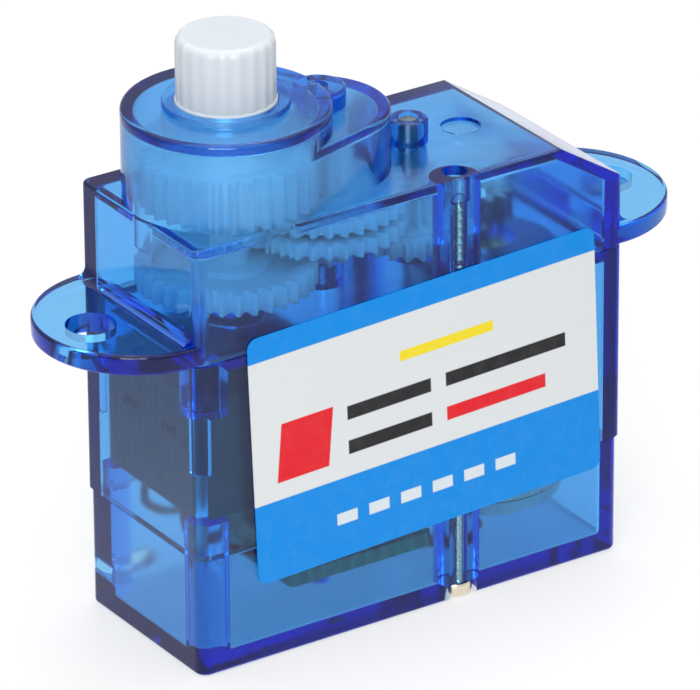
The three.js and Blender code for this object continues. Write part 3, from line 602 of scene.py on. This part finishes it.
def bottom_cover():
    inner_low, standoff_r = 0.3, 0.4
    outlet_x0, outlet_x1, outlet_z0, outlet_z1, outlet_corner = -9.2, -6.9, 0.95, 1.8, 0.4
    cavity = prism(plan(COVER_SETBACK + WALL, 0.3), FLOOR, SEAM_LOW + 1, 0.15, 0)
    shell = cut(prism(plan(COVER_SETBACK, COVER_CORNER), 0, SEAM_LOW, 0.16, SEAM_EDGE), cavity)
    pillars = common(join(*screw_rods(PILLAR_R, inner_low, SEAM_LOW)), cover_outline())
    standoffs = [
        rod(x, y, standoff_r, 0.5, BOARD_LOW[2] - 0.05, steps=24)
        for x, y in ((-4.8, 2.7), (0.6, 2.7), (-2.2, -0.4))
    ]
    in_middle_case = prism(plan(WALL + 0.04, INNER_CORNER), SEAM_LOW - 1, COVER_TOP)
    posts = [rod(POST_X, y, POST_R, inner_low, COVER_TOP) for y in (-POST_Y, POST_Y)]
    posts = common(join(*posts), join(cover_outline(), in_middle_case))
    shell = join(shell, pillars, posts, *standoffs)
    outlet = rectangle(outlet_x0, outlet_x1, outlet_z0, outlet_z1, outlet_corner)()
    outlet = side_prism(outlet, HALF_W - 1.2, HALF_W + 1)
    screw_holes = screw_rods(SCREW_CLEAR_R, -1, SEAM_LOW + 1) + screw_rods(SCREW_HEAD_BORE_R, -1, FLOOR)
    return cut(shell, *screw_holes, outlet)


piece(mark_inside(top_case()), "top_shell", "case", CASE, "top_case")
piece(mark_inside(middle_case()), "middle_shell", "case", CASE, "middle_case")
piece(mark_inside(bottom_cover()), "bottom_shell", "case", CASE, "bottom_cover")

# ---------------------------------------------------------------- case screws


def case_screw(y):
    """Stands on its head: the cross recess faces down, the thread is at the top."""
    head_r, head_top, shank = 0.70, 0.60, 0.33
    crest, root, pitch, thread_low, thread_high, tip = 0.36, 0.29, 0.35, 10.3, 16.6, 17.1
    rows = [(0.60, 0.05), (0.68, 0.09), (head_r, 0.16), (head_r, 0.48), (0.66, 0.57), (0.58, head_top)]
    rows += [(shank + 0.04, head_top), (shank, 0.66), (shank, thread_low - 0.1)]
    z = thread_low
    while z < thread_high:
        rows += [(root, z), (root, z + 0.08), (crest, z + 0.17), (crest, z + 0.2), (root, z + 0.29)]
        z += pitch
    rows += [(root, 16.75), (0.08, tip)]
    body = lathe(SCREW_X, y, rows, 40)
    long, thin, recess = 0.42, 0.085, 0.32
    blades = [
        block(SCREW_X - a, SCREW_X + a, y - b, y + b, -0.2, recess) for a, b in ((long, thin), (thin, long))
    ]
    return cut(body, *blades)


piece(case_screw(-SCREW_Y), "screw_near", "case", ZINC, "case_screw_near")
piece(case_screw(SCREW_Y), "screw_far", "case", ZINC, "case_screw_far")

# ---------------------------------------------------------------- label

LABEL_X0, LABEL_X1, LABEL_Z0, LABEL_Z1 = -7.53, 8.72, 3.66, 14.34
LABEL_MID_X, LABEL_HALF_X = (LABEL_X0 + LABEL_X1) / 2, (LABEL_X1 - LABEL_X0) / 2
LABEL_MID_Z, LABEL_HALF_Z = (LABEL_Z0 + LABEL_Z1) / 2, (LABEL_Z1 - LABEL_Z0) / 2
LABEL_CORNER, LABEL_THICK, LABEL_GAP = 0.45, 0.06, 0.02
LABEL_TILT = math.radians(2.3)


def label_material():
    """White vinyl with plain blue bands and generic bars, drawn in millimetres from the label's middle."""
    n = Nodes("label_print")
    half_x, half_z = LABEL_HALF_X, LABEL_HALF_Z
    shift = n.new("ShaderNodeVectorMath", operation="SUBTRACT")
    n.link(n.place, shift.inputs[0])
    shift.inputs[1].default_value = (LABEL_MID_X * MM, 0, LABEL_MID_Z * MM)
    turn = n.new("ShaderNodeVectorRotate", rotation_type="Y_AXIS")
    n.link(shift.outputs[0], turn.inputs["Vector"])
    turn.inputs["Angle"].default_value = LABEL_TILT
    scale = n.new("ShaderNodeVectorMath", operation="SCALE")
    n.link(turn.outputs[0], scale.inputs[0])
    scale.inputs["Scale"].default_value = 1 / MM
    split = n.new("ShaderNodeSeparateXYZ")
    n.link(scale.outputs[0], split.inputs[0])
    u, v = split.outputs["X"], split.outputs["Z"]
    soft = 0.03

    def edge(value, at, rising=True):
        return n.ramp(value, at - soft, at + soft, 0.0 if rising else 1.0, 1.0 if rising else 0.0)

    def bar(u0, u1, v0, v1, slant=0.0):
        across = n.math("MULTIPLY_ADD", v, -slant, u) if slant else u
        inside = n.math("MULTIPLY", edge(across, u0), edge(across, u1, False))
        return n.math("MULTIPLY", inside, n.math("MULTIPLY", edge(v, v0), edge(v, v1, False)))

    def either(*masks):
        total = masks[0]
        for mask in masks[1:]:
            total = n.math("MAXIMUM", total, mask)
        return total

    blue, white = (0.002, 0.21, 0.62), (0.585, 0.61, 0.62)
    bands = either(edge(v, half_z - 1.05), edge(v, -half_z + 3.45, False))
    ink = n.mix(bands, white, blue)
    upper, lower = (0.55, 1.15), (-0.95, -0.35)
    left_start, left_end, right_start = -half_x + 4.4, 0.2, 0.9
    red = either(bar(-half_x + 1.2, -half_x + 3.6, -1.15, 1.35, 0.12), bar(right_start, 5.6, *lower))
    ink = n.mix(red, ink, (0.62, 0.012, 0.02))
    left_bars = [bar(left_start, left_end, *row) for row in (upper, lower)]
    dark = either(*left_bars, bar(right_start, 6.6, *upper))
    ink = n.mix(dark, ink, (0.018, 0.016, 0.018))
    ink = n.mix(bar(-1.2, 3.2, 2.3, 2.75), ink, (0.72, 0.58, 0.02))
    dash_starts = (-4.4, -2.9, -1.4, 0.1, 1.6, 3.1)
    dashes = either(*[bar(start, start + 0.95, -half_z + 1.45, -half_z + 1.95) for start in dash_starts])
    ink = n.mix(dashes, ink, (0.56, 0.62, 0.66))
    faded = n.mix(n.ramp(n.noise(0.5, 6.0, 0.7), 0.35, 0.75, 0.0, 0.02), ink, (0.70, 0.78, 0.82))
    rubbed = n.ramp(n.noise(0.16, 6.0, 0.75, (1, 1, 5), 3.0), 0.68, 0.80, 0.0, 0.18)
    worn = n.mix(rubbed, faded, (0.75, 0.78, 0.80))
    gloss = n.ramp(n.noise(0.6, 5.0, 0.6, None, 5.0), 0.3, 0.7, 0.28, 0.42)
    wave = n.bump(n.noise(3.5, 2.0, 0.4, None, 9.0), 0.03, 0.5)
    normal = n.bump(n.noise(0.08, 3.0, 0.6, None, 11.0), 0.0015, 0.6, wave)
    return n.set(Base_Color=worn, Roughness=gloss, Normal=normal, Specular_IOR_Level=0.15)


def label_sticker():
    outline = rectangle(-LABEL_HALF_X, LABEL_HALF_X, -LABEL_HALF_Z, LABEL_HALF_Z, LABEL_CORNER, 10)
    sheet = prism(outline, 0, LABEL_THICK, 0, 0.015, 3)
    turn = Matrix.Rotation(math.radians(90), 4, "X") @ Matrix.Rotation(LABEL_TILT, 4, "Z")
    sheet.data.transform(Matrix.Translation((LABEL_MID_X, -HALF_W - LABEL_GAP, LABEL_MID_Z)) @ turn)
    return sheet


piece(label_sticker(), "label_print", "case", label_material(), "label_sticker")

# ---------------------------------------------------------------- gears


def gear_outline(x, teeth, phase, steps=5):
    """Outline of a spur gear with involute flanks; phase is the angle of its first tooth."""
    pitch = teeth * MODULE / 2
    pressure = math.radians(25)
    base = pitch * math.cos(pressure)
    backlash = 0.03
    half = (math.pi * MODULE / 2 - backlash) / 2 / pitch
    root, tip = pitch - 1.15 * MODULE, pitch + 0.85 * MODULE

    def involute(r):
        return math.sqrt((r / base) ** 2 - 1) - math.acos(base / r)

    def width(r):
        return half + involute(pitch) - involute(max(r, base))

    radii = [root + (tip - root) * i / steps for i in range(steps + 1)]
    points = []
    for i in range(teeth):
        middle = phase + i * TAU / teeth
        points += [(r, middle - width(r)) for r in radii]
        points += [(r, middle + width(r)) for r in reversed(radii)]
    return lambda inset=0.0: [(x + (r - inset) * math.cos(a), (r - inset) * math.sin(a)) for r, a in points]


def wheel(x, teeth, z0, z1, web=0.0):
    """A gear wheel, with a dished web between hub and rim where web is its depth."""
    edge, rim_wall, hub_r = 0.04, 0.55, 1.45
    solid = prism(gear_outline(x, teeth, math.pi / teeth), z0, z1, edge, edge, 2)
    if web:
        rim_r = teeth * MODULE / 2 - rim_wall
        hub = rod(x, 0, hub_r, z1 - web - 1, z1 + 2, steps=56)
        solid = cut(solid, cut(rod(x, 0, rim_r, z1 - web, z1 + 1, steps=72), hub))
    return solid


def pinion(x, z0, z1, teeth=10, edge=0.03):
    return prism(gear_outline(x, teeth, 0), z0, z1, edge, edge, 2)


def bored(x, radius, *parts):
    """The parts of one gear joined, with the hole for its axle."""
    return cut(join(*parts), rod(x, 0, radius, 12, 22))


IDLER_BORE_R, SHAFT_BORE_R, SLEEVE_R = 0.45, 0.48, 0.7

piece(
    bored(AXLE_B, IDLER_BORE_R, wheel(AXLE_B, 24, 14.3, 15.05, 0.2), pinion(AXLE_B, 14.95, 16.6)),
    "idler_one", "first_idler", NYLON, "first_idler_gear",
)
piece(
    bored(AXLE_A, IDLER_BORE_R, wheel(AXLE_A, 32, 15.8, 16.45, 0.18), pinion(AXLE_A, 14.5, 15.9)),
    "idler_two", "second_idler", NYLON, "second_idler_gear",
)
piece(
    bored(
        OUT_X, SHAFT_BORE_R,
        wheel(OUT_X, 32, 14.55, 15.5, 0.25),
        rod(OUT_X, 0, SLEEVE_R, 15.2, 16.75),
        pinion(OUT_X, 16.6, 17.45),
    ),
    "idler_three", "third_idler", NYLON, "third_idler_gear",
)
piece(
    bored(
        AXLE_A, IDLER_BORE_R,
        rod(AXLE_A, 0, SLEEVE_R, 16.55, 16.85),
        wheel(AXLE_A, 32, 16.75, 17.4, 0.18),
        pinion(AXLE_A, 17.1, 20.2),
    ),
    "idler_four", "fourth_idler", NYLON, "fourth_idler_gear",
)


def spline():
    """The fluted end of the output shaft, with a rounded tip."""
    teeth, steps = 20, 12
    mean, depth, blunt = 1.928, 0.022, 0.6
    low, fluted_low, shoulder, tip, edge, edge_height = 22.2, 22.3, 24.55, 24.9, 0.30, 0.32
    rows = [(0.0, 0.0, low), (1.0, 0.0, fluted_low), (1.0, 0.0, shoulder)]
    for t in (0.15, 0.35, 0.6, 0.85, 1.0):
        rows.append((1.0 - t, edge * t, tip - edge_height + edge_height * (1 - (1 - t) ** 2) ** 0.5))
    rings = []
    for flute, inset, z in rows:
        ring = []
        for i in range(teeth * steps):
            angle = TAU * i / (teeth * steps)
            wave = math.cos(angle * teeth)
            shape = math.copysign(abs(wave) ** blunt, wave)
            radius = mean + depth * flute * shape - inset
            ring.append((OUT_X + radius * math.cos(angle), radius * math.sin(angle), z))
        rings.append(ring)
    return loft(rings)


def output_gear():
    """Shaft sleeve, wheel, the hub that turns in the boss, and the fluted end, in one moulding."""
    hub_r, hub_top, neck_r, sleeve_r, bore_r = 2.5, 21.28, 2.0, 1.5, 0.46
    rows = [(hub_r, 20.0), (hub_r, hub_top - 0.04), (hub_r - 0.04, hub_top)]
    rows += [(neck_r, hub_top), (neck_r, 22.24), (neck_r - 0.05, 22.3)]
    hub = lathe(OUT_X, 0, rows, 128)
    solid = join(rod(OUT_X, 0, sleeve_r, 17.6, 18.2), wheel(OUT_X, 32, 18.1, 20.1), hub, spline())
    return cut(solid, rod(OUT_X, 0, bore_r, 12, 20.2))


piece(output_gear(), "output_shaft", "output", NYLON, "output_gear")

# ---------------------------------------------------------------- motor


def motor_can():
    radius, bead_r, mouth_r, shoulder = 3.2, 3.17, 2.9, 0.45
    front_r, front_rise, vent_r, vent_at = 1.05, 0.35, 0.28, 2.05
    z0, z1 = CAN_LOW[2], 12.65
    rows = [(mouth_r, z0), (radius - 0.06, z0), (radius, z0 + 0.06)]
    rows += [(radius, z0 + 0.5), (bead_r, z0 + 0.56), (bead_r, z0 + 0.66), (radius, z0 + 0.72)]
    rows.append((radius, z1 - shoulder))
    for i in range(1, 9):
        angle = TAU / 4 * i / 8
        rows.append((radius - shoulder * (1 - math.cos(angle)), z1 - shoulder + shoulder * math.sin(angle)))
    rows += [(front_r + 0.07, z1), (front_r, z1 + 0.05)]
    rows += [(front_r, z1 + front_rise - 0.05), (front_r - 0.05, z1 + front_rise)]
    shell = lathe(MOTOR_X, 0, rows, 128)
    vents = [rod(MOTOR_X, y, vent_r, z1 - 0.12, z1 + 1, steps=24) for y in (vent_at, -vent_at)]
    hollow = rod(MOTOR_X, 0, mouth_r, 0, z1 - 0.4, steps=96)
    bearing_hole = rod(MOTOR_X, 0, 0.8, z1 - 1, z1 + 1)
    return cut(shell, hollow, bearing_hole, *vents)


piece(motor_can(), "can", "case", NICKEL, "motor_can")


def motor_end_cap():
    z0, rim_top, top = 2.5, 3.07, 3.7
    rim_r, plug_r, hub_r, play = 3.15, 2.84, 1.0, 0.03
    rows = [(rim_r - 0.15, z0), (rim_r - 0.03, z0 + 0.05), (rim_r, z0 + 0.12)]
    rows += [(rim_r, rim_top), (plug_r, rim_top), (plug_r, top)]
    body = join(lathe(MOTOR_X, 0, rows, 96), rod(MOTOR_X, 0, hub_r, z0 - 0.12, z0 + 0.1, 0.04))
    slots = [
        block(
            MOTOR_X - 1.5 - play, MOTOR_X - 0.6 + play, y - 0.1 - play, y + 0.1 + play,
            CAN_LOW[2] - 1.5, CAN_LOW[2] + 0.5,
        )
        for y in (1.3, -1.3)
    ]
    brush_room, shaft_hole = rod(MOTOR_X, 0, 1.9, 3.1, 4.5), rod(MOTOR_X, 0, 0.43, 2.7, 4.5)
    return cut(body, brush_room, shaft_hole, *slots)


piece(motor_end_cap(), "end_cap", "case", CAP_PLASTIC, "motor_end_cap")

# ---------------------------------------------------------------- potentiometer and board


def pot_housing():
    """Stands close behind the end wall, with room at its front corners for the case's pockets and ribs."""
    low, high = POT_LOW, POT_HIGH
    top, front = 11.6, POT_LOW[0] - 1
    neck_r, collar_r, chamber_r, shaft_hole_r = 1.25, 2.3, 2.35, 0.47
    notch_low, notch_high, notch_y = 9.54, 9.86, 1.4
    groove_r, groove_pitch, groove_start, groove_count = 0.06, 0.42, -3.0, 15
    body = join(
        prism(rectangle(low[0], high[0], low[1], high[1], 0.4), low[2], top, 0.1, 0.12),
        rod(OUT_X, 0, neck_r, top - 0.2, high[2], 0, 0.05),
        rod(OUT_X, 0, collar_r, top - 0.1, top + 0.12, 0, 0.05, steps=64),
    )
    # room for the case's pockets and ribs, then for the two front terminals
    room = [block(front, POCKET_X + 0.1, y, y + 2.6, POCKET_LOW - 0.1, 13) for y in (-5.0, 2.4)]
    room += [block(front, RIB_X + 0.1, y, y + 1.95, RIB_LOW - 0.1, 13) for y in (-5.0, 3.05)]
    for y in (-notch_y, notch_y):
        room.append(block(front, low[0] + 0.84, y - 0.46, y + 0.46, notch_low, notch_high))
        room.append(block(-8.74, -8.42, y - 0.16, y + 0.16, low[2] - 1, notch_high))
    grooves = []
    for i in range(groove_count):
        from_middle = abs(i - groove_count // 2)
        groove_top = 8.3 if from_middle > 6 else 10.7 if from_middle > 4 else 11.3
        y = groove_start + groove_pitch * i
        grooves.append(rod(low[0] - 0.02, y, groove_r, low[2] + 0.3, groove_top, steps=12))
    chamber = rod(OUT_X, 0, chamber_r, low[2] - 1, 10.8, steps=64)
    shaft_hole = rod(OUT_X, 0, shaft_hole_r, 5, 14)
    return cut(body, chamber, shaft_hole, *room, *grooves)


piece(pot_housing(), "pot_body", "case", POT_PLASTIC, "pot_housing")


def board():
    outline = rectangle(BOARD_LOW[0], BOARD_HIGH[0], BOARD_LOW[1], BOARD_HIGH[1], 0.3)
    return prism(outline, BOARD_LOW[2], BOARD_HIGH[2], 0.02, 0.02, 2)


piece(board(), "board", "case", BOARD, "circuit_board")


# the CAD nodes that stay, each with a better material
KEPT = [
    (STEEL, ["lobe_axle", "pot_shaft", "rotor_shaft", "motor_pinion"]),
    # the axle in the collar takes the darker copy of the steel: painted shade
    (STEEL_PAINTED_SHADE, ["collar_axle"]),
    (FERRITE, ["motor_magnet"]),
    (BRASS, ["motor_front_bushing"]),
    (COPPER, ["pot_wiper", "motor_brush_left", "motor_brush_right"]),
    (COPPER, ["motor_terminal_left", "motor_terminal_right", "rotor_armature", "rotor_commutator"]),
    (TARNISHED, ["pot_terminal_left", "pot_terminal_right", "pot_terminal_wiper"]),
    (PHENOLIC, ["pot_base"]),
    (CARBON, ["pot_track"]),
    (RED, ["motor_lead_left", "pot_lead_left"]),
    (BLACK, ["motor_lead_right", "pot_lead_right", "pot_lead_wiper"]),
    (CHIP, ["control_chip", "driver_transistor_left", "driver_transistor_right", "timing_resistor"]),
    (CERAMIC, ["bypass_capacitor"]),
]
for material, nodes in KEPT:
    for node in nodes:
        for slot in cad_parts[node].material_slots:
            slot.material = material

# ---------------------------------------------------------------- floor, light and camera


def floor():
    """A sheet of white acrylic, lit from below by a broad strip that runs away from the camera."""
    half_size, drop = 3.0, 0.00002
    strip_edge, strip_end, lit, unlit = 0.0135, 0.030, 0.52, 0.20
    n = Nodes("floor_acrylic")
    tone = n.mix(n.ramp(n.noise(60.0, 3.0, 0.5), 0.3, 0.7), (0.35, 0.35, 0.35), (0.37, 0.37, 0.37))
    fibre = n.bump(n.noise(0.6, 3.0, 0.6), 0.01, 0.3)
    aside = n.new("ShaderNodeVectorMath", operation="DOT_PRODUCT")
    n.link(n.place, aside.inputs[0])
    aside.inputs[1].default_value = (math.cos(STRIP_TURN), math.sin(STRIP_TURN), 0)
    beside = n.math("ABSOLUTE", aside.outputs["Value"])
    glow = n.ramp(beside, strip_edge, strip_end, lit, unlit)
    n.set(Base_Color=tone, Roughness=0.9, Normal=fibre, Specular_IOR_Level=0.1)
    n.set(Emission_Color=(1, 1, 1, 1), Emission_Strength=glow)
    bm = bmesh.new()
    corners = ((-1, -1), (1, -1), (1, 1), (-1, 1))
    bm.faces.new([bm.verts.new((x * half_size, y * half_size, -drop)) for x, y in corners])
    obj = link("floor", bm)
    obj.data.materials.append(n.material)


def lamp(name, position, size, power):
    """A square white lamp that faces the lower half of the object."""
    data = bpy.data.lights.new(name, "AREA")
    data.shape = "RECTANGLE"
    data.size = data.size_y = size
    data.energy = power
    obj = bpy.data.objects.new(name, data)
    bpy.context.scene.collection.objects.link(obj)
    obj.location = position
    obj.rotation_mode = "QUATERNION"
    obj.rotation_quaternion = (Vector((0, 0, 0.01)) - Vector(position)).to_track_quat("-Z", "Y")


def studio():
    """A soft sky, dim near the horizon, and two broad lamps."""
    world = bpy.data.worlds.new("studio")
    bpy.context.scene.world = world
    world.use_nodes = True
    nodes, links = world.node_tree.nodes, world.node_tree.links
    split = nodes.new("ShaderNodeSeparateXYZ")
    links.new(nodes.new("ShaderNodeTexCoord").outputs["Generated"], split.inputs[0])
    rise = nodes.new("ShaderNodeMapRange")
    rise.interpolation_type = "SMOOTHSTEP"
    links.new(split.outputs["Z"], rise.inputs["Value"])
    for name, value in {"From Min": 0.35, "From Max": 0.95, "To Min": 0.54, "To Max": 1.72}.items():
        rise.inputs[name].default_value = value
    links.new(rise.outputs[0], nodes["Background"].inputs["Strength"])
    nodes["Background"].inputs["Color"].default_value = (1.0, 1.0, 1.0, 1)
    lamp("key", (-0.20, -0.25, 0.16), 0.16, 0.70)
    lamp("rim", (0.10, 0.12, 0.30), 0.10, 0.15)


def camera():
    """A long lens that sees the label, the output end and the top, turned a little about its own axis."""
    azimuth, elevation, roll = math.radians(-33.487), math.radians(25.711), math.radians(-0.354)
    lens, distance, aim_height, aim_left, aim_up = 393.43, 0.30131, 0.010, 0.000185, 0.000090
    flat = math.cos(elevation)
    away = Vector((math.sin(azimuth) * flat, -math.cos(azimuth) * flat, math.sin(elevation)))
    level = Vector((math.cos(azimuth), math.sin(azimuth), 0))
    upright = away.cross(level)
    right = level * math.cos(roll) + upright * math.sin(roll)
    up = upright * math.cos(roll) - level * math.sin(roll)
    data = bpy.data.cameras.new("camera")
    data.sensor_width = 36.0
    data.lens = lens
    data.clip_start, data.clip_end = 0.01, 20.0
    obj = bpy.data.objects.new("camera", data)
    bpy.context.scene.collection.objects.link(obj)
    place = Vector((0, 0, aim_height)) + away * distance - right * aim_left + up * aim_up
    obj.matrix_world = Matrix.Translation(place) @ Matrix((right, up, away)).transposed().to_4x4()
    bpy.context.scene.camera = obj


floor()
studio()
camera()
bpy.context.scene.view_settings.view_transform = "Standard"
